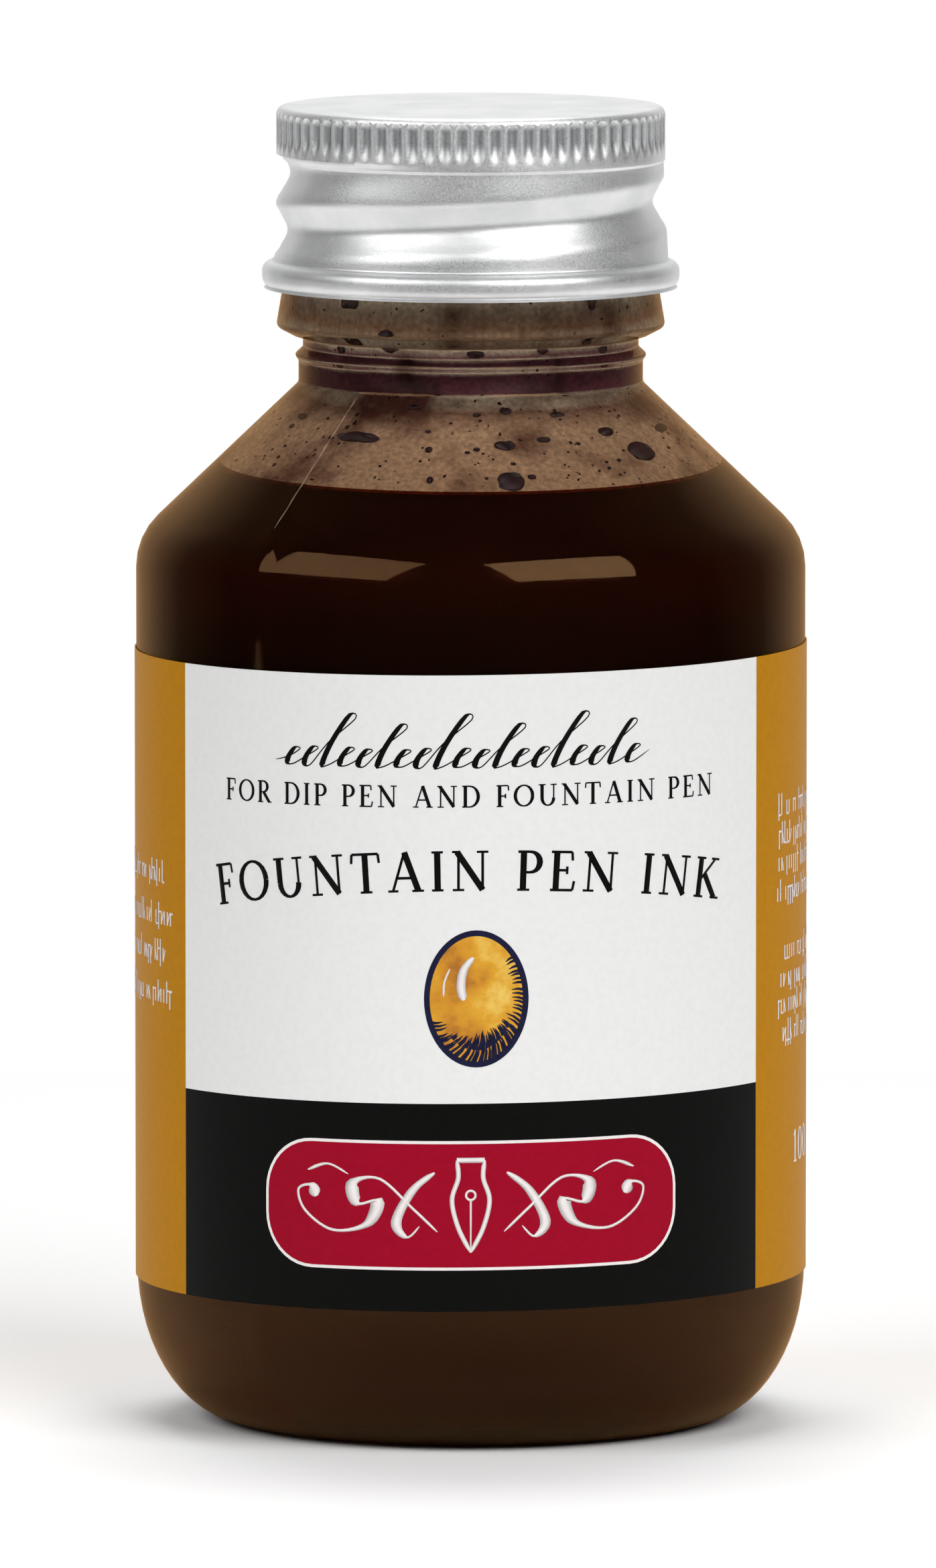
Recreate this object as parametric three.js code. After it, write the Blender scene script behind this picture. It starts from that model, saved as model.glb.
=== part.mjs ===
// Ink bottle, 100 ml: clear glass bottle, its ink, a wraparound paper label, and an
// aluminium screw cap with its two-layer liner. Millimetres, +Z up, origin under the foot.
import * as THREE from 'three';

const body = { radius: 24.45, wall: 2.15, heelRise: 11.4, shoulderStart: 63.0 };
const foot = { innerRadius: 13.5, outerRadius: 17, pushUp: 0.9, floor: 2.8 };
const cone = { lowRadius: 22.9, lowZ: 66.6, highRadius: 13.1, highZ: 75.4 };
const neck = { ringRadius: 12.57, ringTop: 78.5, grooveRadius: 12.25, boreRadius: 9.5, boreStart: 77.6 };
const collar = { bottom: 79.5, lowRadius: 12.9, widest: 14.1, widestZ: 80.7, topRadius: 13.75, top: 83.0 };
const hollow = { coneTop: 11.2, coneLow: 21.3, flatFloor: 15 };
const finish = { rootRadius: 12.55, start: 84.3, rim: 94.6, rimRound: 0.8 };
const ink = { level: 68.3, gap: 0.2 };
const label = { bottom: 10.8, top: 56.9, gap: 0.05, thickness: 0.12 };
const cap = { top: 96.2, cornerRadius: 1.0, radius: 14.2, skirtRadius: 14.45, wall: 0.3 };
const bead = { top: 84.8, middle: 83.9, bottom: 82.95, radius: 15.25, mouthRadius: 14.15 };
const fluteBand = { bottom: 92.6, top: 95.6, depth: 0.25, count: 36, runOut: 0.3 };
const liner = { radius: 12.9, boardThickness: 0.9, facingThickness: 0.22, gap: 0.05 };

// One right-hand helix serves the cap's rolled groove and, half a pitch above it, the glass thread.
const helix = { pitch: 4.23, grooveZAtRight: 84.985 };
const capGroove = { depth: 0.95, halfWidth: 2.1, startDeg: 15, endDeg: 625, fadeDeg: 90, offset: 0 };
const glassThread = { depth: 1.05, halfWidth: 1.25, startDeg: 40, endDeg: 500, fadeDeg: 40, offset: helix.pitch / 2 };

const glassSegments = 48;
const capSegments = 2 * fluteBand.count;
const arcDivisions = 3;
const threadRow = 0.62;

const material = (color, roughness, metalness) => new THREE.MeshStandardMaterial({ color, roughness, metalness });

// A profile in radius and height, turned about Z. Column angles start at the front.
function turned(path, segments) {
  const geometry = new THREE.LatheGeometry(path.getPoints(arcDivisions), segments);
  return geometry.rotateX(Math.PI / 2);
}

// Adds short straight rows from the path's end to (radius, z), so that a thread can shape them.
function rowsTo(path, radius, z) {
  const from = path.currentPoint.clone();
  const to = new THREE.Vector2(radius, z);
  const count = Math.ceil(Math.abs(to.y - from.y) / threadRow);
  for (let i = 1; i <= count; i++) {
    const point = from.clone().lerp(to, i / count);
    path.lineTo(point.x, point.y);
  }
}

// 0 away from the helical form, 1 on its middle line, with both ends fading out.
function helicalForm(angleDeg, z, form) {
  const start = helix.grooveZAtRight + form.offset;
  const turns = Math.round((z - start) / helix.pitch - angleDeg / 360);
  const along = angleDeg + 360 * turns;
  const away = z - start - helix.pitch * along / 360;
  if (Math.abs(away) >= form.halfWidth) return 0;
  const fadeIn = THREE.MathUtils.smoothstep(along, form.startDeg, form.startDeg + form.fadeDeg);
  const fadeOut = 1 - THREE.MathUtils.smoothstep(along, form.endDeg - form.fadeDeg, form.endDeg);
  return fadeIn * fadeOut * (1 + Math.cos(Math.PI * away / form.halfWidth)) / 2;
}

// Moves each vertex in or out by what change(angleDeg, radius, z) returns.
function reshape(geometry, change) {
  const position = geometry.attributes.position;
  for (let i = 0; i < position.count; i++) {
    const x = position.getX(i);
    const y = position.getY(i);
    const radius = Math.hypot(x, y);
    if (radius < 1) continue;
    const angleDeg = (THREE.MathUtils.radToDeg(Math.atan2(y, x)) + 360) % 360;
    const scale = 1 + change(angleDeg, radius, position.getZ(i)) / radius;
    position.setXY(i, x * scale, y * scale);
  }
  return geometry;
}

// Inner wall of the shoulder: the outer cone moved in by the wall, square to its slope.
const coneSlope = (cone.lowRadius - cone.highRadius) / (cone.highZ - cone.lowZ);
const innerConeRadius = (z) =>
  cone.lowRadius - coneSlope * (z - cone.lowZ) - body.wall * Math.hypot(1, coneSlope);
const innerConeZ = (radius) => cone.lowZ + (innerConeRadius(cone.lowZ) - radius) / coneSlope;
const innerRadius = body.radius - body.wall;
const shoulderCornerZ = cone.lowZ - (body.radius - cone.lowRadius) / coneSlope;

function makeGlassBottle() {
  const profile = new THREE.Path();
  profile.moveTo(0, foot.pushUp);
  profile.quadraticCurveTo(0.7 * foot.innerRadius, foot.pushUp, foot.innerRadius, 0);
  profile.lineTo(foot.outerRadius, 0);
  profile.absellipse(foot.outerRadius, body.heelRise, body.radius - foot.outerRadius, body.heelRise,
    -Math.PI / 2, 0, false);
  profile.lineTo(body.radius, body.shoulderStart);
  profile.quadraticCurveTo(body.radius, shoulderCornerZ, cone.lowRadius, cone.lowZ);
  profile.lineTo(cone.highRadius, cone.highZ);
  profile.quadraticCurveTo(neck.ringRadius, cone.highZ + 0.4, neck.ringRadius, cone.highZ + 0.9);
  profile.lineTo(neck.ringRadius, neck.ringTop - 0.9);
  profile.quadraticCurveTo(neck.ringRadius + 0.35, neck.ringTop - 0.5, neck.ringRadius, neck.ringTop);
  profile.lineTo(neck.grooveRadius, neck.ringTop + 0.2);
  profile.lineTo(neck.grooveRadius, collar.bottom - 0.2);
  profile.lineTo(collar.lowRadius, collar.bottom + 0.1);
  profile.quadraticCurveTo(collar.widest, collar.bottom + 0.4, collar.widest, collar.widestZ);
  profile.lineTo(collar.topRadius, collar.top);
  profile.lineTo(finish.rootRadius, finish.start);
  rowsTo(profile, finish.rootRadius, finish.rim - finish.rimRound);
  profile.quadraticCurveTo(finish.rootRadius, finish.rim, finish.rootRadius - finish.rimRound, finish.rim);
  profile.lineTo(neck.boreRadius + finish.rimRound, finish.rim);
  profile.quadraticCurveTo(neck.boreRadius, finish.rim, neck.boreRadius, finish.rim - finish.rimRound);
  profile.lineTo(neck.boreRadius, neck.boreStart);
  profile.quadraticCurveTo(neck.boreRadius, innerConeZ(neck.boreRadius), hollow.coneTop, innerConeZ(hollow.coneTop));
  profile.lineTo(hollow.coneLow, innerConeZ(hollow.coneLow));
  profile.quadraticCurveTo(innerRadius, innerConeZ(innerRadius), innerRadius, body.shoulderStart);
  profile.lineTo(innerRadius, body.heelRise);
  profile.absellipse(hollow.flatFloor, body.heelRise, innerRadius - hollow.flatFloor, body.heelRise - foot.floor,
    0, -Math.PI / 2, true);
  profile.lineTo(0, foot.floor);
  return reshape(turned(profile, glassSegments), (angleDeg, radius, z) => {
    const onFinish = radius > finish.rootRadius - 0.3 && z > finish.start;
    return onFinish ? glassThread.depth * helicalForm(angleDeg, z, glassThread) : 0;
  });
}

function makeInk() {
  const inset = ink.gap * Math.hypot(1, coneSlope);
  const profile = new THREE.Path();
  profile.moveTo(0, foot.floor + ink.gap);
  profile.lineTo(hollow.flatFloor, foot.floor + ink.gap);
  profile.absellipse(hollow.flatFloor, body.heelRise, innerRadius - ink.gap - hollow.flatFloor,
    body.heelRise - foot.floor - ink.gap, -Math.PI / 2, 0, false);
  profile.lineTo(innerRadius - ink.gap, body.shoulderStart);
  profile.quadraticCurveTo(innerRadius - ink.gap, innerConeZ(innerRadius) - ink.gap,
    hollow.coneLow - inset, innerConeZ(hollow.coneLow));
  profile.lineTo(innerConeRadius(ink.level) - inset, ink.level);
  profile.lineTo(0, ink.level);
  return turned(profile, glassSegments);
}

// The label is one sheet whose ends meet at the back, so it is a whole thin ring.
function makeLabel() {
  const inside = body.radius + label.gap;
  const outside = inside + label.thickness;
  const profile = new THREE.Path();
  profile.moveTo(outside, label.bottom);
  profile.lineTo(outside, label.top);
  profile.lineTo(inside, label.top);
  profile.lineTo(inside, label.bottom);
  profile.lineTo(outside, label.bottom);
  return turned(profile, glassSegments);
}

// Rolled aluminium shell: flat top, fluted grip band, rolled thread groove and curled lower edge.
function makeCapShell() {
  const inner = cap.top - cap.wall;
  const profile = new THREE.Path();
  profile.moveTo(0, inner);
  profile.lineTo(cap.radius - cap.wall - cap.cornerRadius, inner);
  profile.quadraticCurveTo(cap.radius - 2 * cap.wall, inner, cap.radius - 2 * cap.wall, fluteBand.top - 0.2);
  profile.lineTo(cap.radius - 2 * cap.wall, fluteBand.bottom + 0.2);
  profile.lineTo(cap.radius - cap.wall, fluteBand.bottom - 0.2);
  rowsTo(profile, cap.skirtRadius - cap.wall, bead.top);
  profile.lineTo(bead.mouthRadius, bead.middle);
  profile.lineTo(bead.mouthRadius + 0.1, bead.bottom + 0.15);
  profile.lineTo(bead.mouthRadius + 0.5, bead.bottom);
  profile.quadraticCurveTo(bead.radius, bead.bottom + 0.1, bead.radius, bead.middle);
  profile.quadraticCurveTo(bead.radius, bead.top - 0.1, cap.skirtRadius, bead.top);
  rowsTo(profile, cap.radius, fluteBand.bottom - 0.2);
  profile.lineTo(cap.radius, fluteBand.bottom);
  profile.lineTo(cap.radius, fluteBand.bottom + fluteBand.runOut);
  profile.lineTo(cap.radius, fluteBand.top - fluteBand.runOut);
  profile.lineTo(cap.radius, fluteBand.top);
  profile.quadraticCurveTo(cap.radius, cap.top, cap.radius - cap.cornerRadius, cap.top);
  profile.lineTo(0, cap.top);
  return reshape(turned(profile, capSegments), (angleDeg, radius, z) => {
    const inFlutes = z > fluteBand.bottom + 0.1 && z < fluteBand.top - 0.1 && radius > cap.radius - 0.1;
    if (inFlutes) {
      return -fluteBand.depth * (1 - Math.cos(fluteBand.count * THREE.MathUtils.degToRad(angleDeg))) / 2;
    }
    const inThread = z > bead.top && z < fluteBand.bottom;
    return inThread ? -capGroove.depth * helicalForm(angleDeg, z, capGroove) : 0;
  });
}

// Liner discs lie under the cap's top, the board above and its thin facing on the rim.
function makeDisc(bottom, thickness) {
  const profile = new THREE.Path();
  profile.moveTo(0, bottom);
  profile.lineTo(liner.radius, bottom);
  profile.lineTo(liner.radius, bottom + thickness);
  profile.lineTo(0, bottom + thickness);
  return turned(profile, glassSegments);
}

const facingBottom = finish.rim + liner.gap;
const boardBottom = facingBottom + liner.facingThickness + liner.gap;

const pieces = {
  glass_bottle: [makeGlassBottle(), material(0xd8d2c6, 0.05, 0)],
  ink_fill: [makeInk(), material(0x12060a, 0.1, 0)],
  wrap_label: [makeLabel(), material(0xe9e8e4, 0.6, 0)],
  cap_shell: [makeCapShell(), material(0xd2d3d5, 0.35, 1)],
  liner_board: [makeDisc(boardBottom, liner.boardThickness), material(0xb79f7c, 0.9, 0)],
  liner_facing: [makeDisc(facingBottom, liner.facingThickness), material(0xf0ede4, 0.4, 0)],
};

const inkBottle = new THREE.Group();
for (const [name, [geometry, finishMaterial]] of Object.entries(pieces)) {
  const mesh = new THREE.Mesh(geometry, finishMaterial);
  mesh.name = name;
  inkBottle.add(mesh);
}

export default inkBottle;
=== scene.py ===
import math
import random

import bpy
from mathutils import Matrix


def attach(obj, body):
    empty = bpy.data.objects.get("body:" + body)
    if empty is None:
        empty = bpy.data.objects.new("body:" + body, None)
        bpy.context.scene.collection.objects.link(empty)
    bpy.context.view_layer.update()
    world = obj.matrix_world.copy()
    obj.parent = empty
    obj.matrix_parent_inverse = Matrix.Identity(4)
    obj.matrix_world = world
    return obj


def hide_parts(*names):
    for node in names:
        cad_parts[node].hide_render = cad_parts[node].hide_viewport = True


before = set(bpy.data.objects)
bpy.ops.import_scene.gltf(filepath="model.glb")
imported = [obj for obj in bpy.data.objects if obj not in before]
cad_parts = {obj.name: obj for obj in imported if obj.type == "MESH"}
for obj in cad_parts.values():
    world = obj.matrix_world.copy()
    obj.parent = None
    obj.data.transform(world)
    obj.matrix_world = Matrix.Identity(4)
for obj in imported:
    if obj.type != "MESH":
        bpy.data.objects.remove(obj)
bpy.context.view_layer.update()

mm = 0.001


def linearColour(hexText, alpha=1.0):
    # sRGB hex, such as "d9dadc", to the linear values that sockets take
    out = []
    for i in (0, 2, 4):
        part = int(hexText[i:i + 2], 16) / 255
        out.append(part / 12.92 if part <= 0.04045 else ((part + 0.055) / 1.055) ** 2.4)
    return (*out, alpha)


def addNode(tree, kind, settings=None, inputs=None, links=None):
    node = tree.nodes.new(kind)
    for key, value in (settings or {}).items():
        setattr(node, key, value)
    for key, value in (inputs or {}).items():
        node.inputs[key].default_value = value
    for key, source in (links or {}).items():
        tree.links.new(source, node.inputs[key])
    return node


def newMaterial(name):
    material = bpy.data.materials.new(name)
    material.use_nodes = True
    tree = material.node_tree
    shader = tree.nodes["Principled BSDF"]
    coordinates = addNode(tree, "ShaderNodeTexCoord").outputs["Object"]
    return material, tree, shader, coordinates


def colourRamp(tree, source, stops):
    # stops are (position, hex) pairs
    ramp = addNode(tree, "ShaderNodeValToRGB", links={"Fac": source})
    elements = ramp.color_ramp.elements
    while len(elements) < len(stops):
        elements.new(0.5)
    for element, (position, hexText) in zip(elements, stops):
        element.position = position
        element.color = linearColour(hexText)
    return ramp.outputs["Color"]

cameraView = {
    "distance": 1.43,       # along the ground, from the bottle's axis
    "height": 0.197,
    "sideways": -0.0002,
    "tiltDown": 6.009,      # degrees
    "lens": 451.3,          # mm, on a 36 mm sensor
}


def addCamera(view):
    bpy.ops.object.select_all(action="DESELECT")
    bpy.ops.object.camera_add(location=(view["sideways"], -view["distance"], view["height"]),
                              rotation=(math.radians(90 - view["tiltDown"]), 0, 0))
    camera = bpy.context.object
    camera.data.lens = view["lens"]
    camera.data.sensor_width = 36
    camera.data.clip_start = 0.05
    bpy.context.scene.camera = camera


addCamera(cameraView)
print("camera placed")

def roundedOutline(corners, stepDegrees=15):
    # corners are (radius, height, fillet) in mm; each fillet becomes a true arc between its sides
    points = []
    last = len(corners) - 1
    for i, (r, z, fillet) in enumerate(corners):
        if fillet <= 0 or i in (0, last):
            points.append((r, z))
            continue
        before, after = corners[i - 1], corners[i + 1]
        ax, az = before[0] - r, before[1] - z
        bx, bz = after[0] - r, after[1] - z
        la, lb = math.hypot(ax, az), math.hypot(bx, bz)
        ax, az, bx, bz = ax / la, az / la, bx / lb, bz / lb
        inside = math.acos(max(-1, min(1, ax * bx + az * bz)))
        reach = fillet / math.tan(inside / 2)
        mx, mz = ax + bx, az + bz
        lm = math.hypot(mx, mz)
        toCentre = fillet / math.sin(inside / 2)
        cx, cz = r + mx / lm * toCentre, z + mz / lm * toCentre
        start = math.atan2(z + az * reach - cz, r + ax * reach - cx)
        end = math.atan2(z + bz * reach - cz, r + bx * reach - cx)
        sweep = (end - start + math.pi) % (2 * math.pi) - math.pi
        count = max(2, math.ceil(abs(math.degrees(sweep)) / stepDegrees))
        for k in range(count + 1):
            angle = start + sweep * k / count
            points.append((cx + fillet * math.cos(angle), cz + fillet * math.sin(angle)))
    return points


def fineRows(points, longest, low, high):
    # splits the stretches between two heights so that no row is longer than that
    out = [points[0]]
    for (r0, z0), (r1, z1) in zip(points, points[1:]):
        middle = (z0 + z1) / 2
        count = math.ceil(math.hypot(r1 - r0, z1 - z0) / longest) if low < middle < high else 1
        out += [(r0 + (r1 - r0) * k / count, z0 + (z1 - z0) * k / count) for k in range(1, count + 1)]
    return out


def smoothAndFinish(piece, degrees=40):
    bpy.ops.object.select_all(action="DESELECT")
    piece.select_set(True)
    bpy.context.view_layer.objects.active = piece
    bpy.ops.object.shade_smooth_by_angle(angle=math.radians(degrees))
    bpy.ops.object.select_all(action="DESELECT")


def turnPiece(name, outline, steps):
    # one vertex is extruded along the outline and spun round the bottle's axis
    bpy.ops.object.select_all(action="DESELECT")
    bpy.ops.mesh.primitive_plane_add(size=mm, location=(0, 0, 0))
    piece = bpy.context.object
    piece.name = piece.data.name = name
    bpy.ops.object.mode_set(mode="EDIT")
    bpy.ops.mesh.merge(type="CENTER")
    here = (0.0, 0.0)
    for i, (r, z) in enumerate(outline):
        move = ((r - here[0]) * mm, 0, (z - here[1]) * mm)
        if i == 0:
            bpy.ops.transform.translate(value=move)
        else:
            bpy.ops.mesh.extrude_vertices_move(TRANSFORM_OT_translate={"value": move})
        here = (r, z)
    bpy.ops.mesh.select_all(action="SELECT")
    bpy.ops.mesh.spin(steps=steps, angle=2 * math.pi, center=(0, 0, 0), axis=(0, 0, 1))
    bpy.ops.mesh.select_all(action="SELECT")
    bpy.ops.mesh.remove_doubles(threshold=0.004 * mm)
    bpy.ops.mesh.normals_make_consistent(inside=False)
    bpy.ops.object.mode_set(mode="OBJECT")
    return piece


def applyModifier(piece, kind, **settings):
    bpy.ops.object.select_all(action="DESELECT")
    piece.select_set(True)
    bpy.context.view_layer.objects.active = piece
    bpy.ops.object.modifier_add(type=kind)
    modifier = piece.modifiers[-1]
    for key, value in settings.items():
        setattr(modifier, key, value)
    bpy.ops.object.modifier_apply(modifier=modifier.name)


def reshape(piece, change):
    # moves every vertex in or out by what change(degrees, radius, height) returns, all in mm
    for vertex in piece.data.vertices:
        x, y, z = vertex.co
        radius = math.hypot(x, y)
        if radius < 1 * mm:
            continue
        away = change(math.degrees(math.atan2(y, x)) % 360, radius / mm, z / mm) * mm
        vertex.co.x += x / radius * away
        vertex.co.y += y / radius * away


def smoothStep(value, low, high):
    t = max(0.0, min(1.0, (value - low) / (high - low)))
    return t * t * (3 - 2 * t)


def paint(piece, *materials):
    piece.data.materials.clear()
    for material in materials:
        piece.data.materials.append(material)


def fixPiece(piece, body, slot, *nodes):
    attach(piece, body)
    if nodes:
        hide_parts(*nodes)

threadHelix = {"pitch": 4.23, "grooveAtRight": 84.985}     # mm; the groove's height where it starts, at +X


def helicalForm(degrees, z, halfWidth, startDegrees, endDegrees, fadeDegrees, offset=0.0):
    start = threadHelix["grooveAtRight"] + offset
    turns = round((z - start) / threadHelix["pitch"] - degrees / 360)
    along = degrees + 360 * turns
    away = z - start - threadHelix["pitch"] * along / 360
    if abs(away) >= halfWidth:
        return 0.0
    fade = smoothStep(along, startDegrees, startDegrees + fadeDegrees)
    fade *= 1 - smoothStep(along, endDegrees - fadeDegrees, endDegrees)
    return fade * (1 + math.cos(math.pi * away / halfWidth)) / 2

glassBottle = {
    # in mm and degrees, from the base up
    "radius": 24.45, "wall": 2.15, "heelRise": 11.4, "footRadius": 17.0, "footInside": 13.6,
    "pushUp": 0.9, "pushUpRadius": 12.9, "floor": 2.8, "innerFlat": 15.0,
    "coneSlope": 1.049, "coneRadius": 22.42, "coneHeight": 66.62, "fillLine": 68.3,
    "neckRadius": 12.57, "grooveRadius": 12.25, "bore": 9.5, "rim": 94.6,
    "ringRadius": 12.86, "ringHeight": 78.05,
    "collarRadius": 14.2, "collarBottom": 79.52, "collarTop": 83.0,
    "finishRadius": 12.55, "finishBottom": 84.3,
    "threadDepth": 1.05, "threadHalfWidth": 1.25, "threadTurn": (40, 500, 40),     # from, to and fade
    "seamDegrees": 230.6, "seamHeight": 0.16, "seamWidth": 0.50, "seamHeights": ((4, 10.3), (57.4, 83)),
    "columns": 232,
}


def coneHeightAt(radius, inset=0.0):
    g = glassBottle
    coneRadius = g["coneRadius"] - inset * math.hypot(1, g["coneSlope"])
    return g["coneHeight"] + (coneRadius - radius) / g["coneSlope"]


def innerWallCorners(inset):
    # the hollow from the floor's middle to the shoulder; inset moves it in, or out when negative
    g = glassBottle
    r, low = g["radius"] - g["wall"] - inset, g["floor"] + inset
    heel = []
    for degrees in range(0, 91, 6):
        t = math.radians(degrees)
        heel.append((g["innerFlat"] + (r - g["innerFlat"]) * math.sin(t),
                     g["heelRise"] - (g["heelRise"] - low) * math.cos(t), 0))
    return [(0, low, 0)] + heel + [(r, coneHeightAt(r, g["wall"] + inset), 3.0)]


def innerRadiusAt(height):
    # the hollow's radius at a height, for telling its faces from the outer ones
    g = glassBottle
    straight = g["radius"] - g["wall"]
    if height > coneHeightAt(straight, g["wall"]):
        coneRadius = g["coneRadius"] - g["wall"] * math.hypot(1, g["coneSlope"])
        return max(g["bore"], coneRadius - g["coneSlope"] * (height - g["coneHeight"]))
    if height > g["heelRise"]:
        return straight
    down = min(1, (g["heelRise"] - height) / (g["heelRise"] - g["floor"]))
    return g["innerFlat"] + (straight - g["innerFlat"]) * math.sqrt(1 - down ** 2)


def makeGlassBottle():
    g = glassBottle
    heel = [(g["footRadius"] + (g["radius"] - g["footRadius"]) * math.sin(t),
             g["heelRise"] * (1 - math.cos(t))) for t in [math.radians(a) for a in range(0, 90, 6)]]
    foot = roundedOutline([(0, g["pushUp"], 0), (9, g["pushUp"], 12), (g["pushUpRadius"], 0.25, 1.0),
                           (g["footInside"], 0, 0)])
    shoulder = [(g["radius"], g["heelRise"], 0), (g["radius"], coneHeightAt(g["radius"]), 5.0),
                (g["neckRadius"], coneHeightAt(g["neckRadius"]), 0.55)]
    ringAndGroove = [(g["neckRadius"], g["ringHeight"] - 0.4, 0.3), (g["ringRadius"], g["ringHeight"], 0.22),
                     (g["grooveRadius"], 78.62, 0.22), (g["grooveRadius"], 79.38, 0.22)]
    collar = [(13.0, g["collarBottom"], 0.12), (g["collarRadius"], g["collarBottom"] + 0.63, 0.45),
              (13.72, g["collarTop"], 0.5)]
    finish = [(g["finishRadius"], 84.1, 0.5), (g["finishRadius"], g["rim"], 0.8), (g["bore"], g["rim"], 0.8),
              (g["bore"], coneHeightAt(g["bore"], g["wall"]), 2.5)]
    upper = roundedOutline(shoulder + ringAndGroove + collar + finish + innerWallCorners(0)[::-1], 12)
    outline = fineRows(foot + heel + upper, 0.3, g["finishBottom"], 93.8)
    outline = fineRows(outline, 2.0, 12, 84)
    piece = turnPiece("glassBottle", outline, g["columns"])

    def threadAndSeam(degrees, radius, z):
        away = 0.0
        if radius > g["finishRadius"] - 0.2 and z > g["finishBottom"]:
            thread = helicalForm(degrees, z, g["threadHalfWidth"], *g["threadTurn"], threadHelix["pitch"] / 2)
            away += g["threadDepth"] * thread
        outside = radius > g["radius"] - 1 if z < 63 else z > coneHeightAt(radius, 1.0)
        if outside and any(low < z < high for low, high in g["seamHeights"]):
            for seam in (g["seamDegrees"], g["seamDegrees"] - 180):
                arc = radius * math.radians(abs(degrees - seam))
                away += g["seamHeight"] * math.exp(-(arc / g["seamWidth"]) ** 2)
        return away

    reshape(piece, threadAndSeam)
    smoothAndFinish(piece, 35)
    return piece


def bottleGlass(name, mirrored=True):
    # moulded soda-lime glass: slightly wavy, and its reflections look brown with the ink behind them
    material, tree, shader, coordinates = newMaterial(name)
    tree.nodes.remove(shader)
    bend = addNode(tree, "ShaderNodeBsdfRefraction", inputs={
        "Color": linearColour("fbf8f2"), "Roughness": 0.0, "IOR": 1.52})
    end = tree.nodes["Material Output"].inputs["Surface"]
    if not mirrored:
        tree.links.new(bend.outputs["BSDF"], end)
        return material
    waves = addNode(tree, "ShaderNodeTexNoise", inputs={"Scale": 1 / (9 * mm), "Detail": 1.0},
                    links={"Vector": coordinates})
    bump = addNode(tree, "ShaderNodeBump", inputs={"Strength": 0.12, "Distance": 0.3 * mm},
                   links={"Height": waves.outputs["Fac"]}).outputs["Normal"]
    mirror = addNode(tree, "ShaderNodeBsdfAnisotropic", links={"Normal": bump}, inputs={
        "Color": linearColour("bc9266"), "Roughness": 0.05})
    share = addNode(tree, "ShaderNodeFresnel", inputs={"IOR": 1.52}, links={"Normal": bump})
    tree.links.new(bump, bend.inputs["Normal"])
    both = addNode(tree, "ShaderNodeMixShader", links={0: share.outputs["Fac"], 1: bend.outputs["BSDF"],
                                                       2: mirror.outputs["BSDF"]})
    tree.links.new(both.outputs["Shader"], end)
    return material


inkFilm = {
    # height in mm and the film's colour there, from the fill line up; the near-white fff0d8 bands at the
    # neck's ring edges are painted highlights, the rest is the film's stain
    "filmAndHighlightBands": [(68.2, "f3d9b9"), (68.6, "e0b592"), (72.6, "e8c09f"), (74.0, "a07a68"), (74.8, "fff0d8"),
              (75.3, "fff0d8"), (75.8, "7a4552"), (77.3, "703c4e"), (77.9, "fff0d8"), (78.6, "94606c"),
              (79.3, "fff0d8"), (80.4, "d0a484"), (82.0, "fff0d8"), (84.0, "f6dcb6")],
    "raggedEdge": 0.9,     # mm up and down
    "raggedSize": 4.5,     # mm, of the waves in the bands' edges
    "grainSize": 0.35,
    "cloudSize": 6.0,
    "speckSize": 0.55,
}


def stainedGlassWithPaintedHighlights():
    # glass wetted by ink: a thin dried film inside, tan where thin and purple-brown where it ran together,
    # with painted highlight lines at the neck's ring edges
    material, tree, shader, coordinates = newMaterial("inkStainWithPaintedHighlights")
    shader.inputs["Roughness"].default_value = 0.35
    shader.inputs["Specular IOR Level"].default_value = 0.1
    parts = addNode(tree, "ShaderNodeSeparateXYZ", links={"Vector": coordinates})
    ragged = addNode(tree, "ShaderNodeTexNoise", links={"Vector": coordinates}, inputs={
        "Scale": 1 / (inkFilm["raggedSize"] * mm), "Detail": 6.0, "Roughness": 0.62})
    shift = addNode(tree, "ShaderNodeMath", settings={"operation": "MULTIPLY_ADD"},
                    inputs={1: inkFilm["raggedEdge"] * mm},
                    links={0: ragged.outputs["Fac"], 2: parts.outputs["Z"]})
    low, high = inkFilm["filmAndHighlightBands"][0][0], inkFilm["filmAndHighlightBands"][-1][0]
    height = addNode(tree, "ShaderNodeMapRange", links={"Value": shift.outputs["Value"]}, inputs={
        "From Min": (low + inkFilm["raggedEdge"] / 2) * mm,
        "From Max": (high + inkFilm["raggedEdge"] / 2) * mm})
    # colour by height: the film's stain, and painted highlight lines at the neck's ring edges
    filmAndHighlightBands = colourRamp(tree, height.outputs["Result"],
                       [((z - low) / (high - low), hexText) for z, hexText in inkFilm["filmAndHighlightBands"]])
    colour = filmAndHighlightBands
    for size, detail, stops in ((inkFilm["grainSize"], 3.0, [(0.3, "c8c4c0"), (0.7, "ffffff")]),
                                (inkFilm["cloudSize"], 3.0, [(0.32, "7d5a60"), (0.52, "ffffff")]),
                                (inkFilm["speckSize"], 1.5, [(0.27, "3a1c22"), (0.31, "ffffff")])):
        noise = addNode(tree, "ShaderNodeTexNoise", inputs={"Scale": 1 / (size * mm), "Detail": detail},
                        links={"Vector": coordinates})
        both = addNode(tree, "ShaderNodeMix", settings={"data_type": "RGBA", "blend_type": "MULTIPLY"})
        both.inputs["Factor"].default_value = 1.0
        tree.links.new(colour, both.inputs["A"])
        tree.links.new(colourRamp(tree, noise.outputs["Fac"], stops), both.inputs["B"])
        colour = both.outputs["Result"]
    tree.links.new(colour, shader.inputs["Base Color"])
    return material


def glassSlotAt(radius, z):
    # 1 for the stained wall above the ink, which also carries painted highlight lines, 2 for the wall that
    # the ink wets, 0 for the outside
    g = glassBottle
    insideBore = z > coneHeightAt(g["bore"], g["wall"]) - 0.5 and radius < g["bore"] + 0.4
    insideCone = g["fillLine"] < z < coneHeightAt(radius, g["wall"] - 0.6)
    if insideBore or insideCone:
        return 1
    wetted = g["floor"] - 0.4 < z < g["fillLine"] + 0.6 and radius < innerRadiusAt(z) + 0.4
    return 2 if wetted else 0


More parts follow.
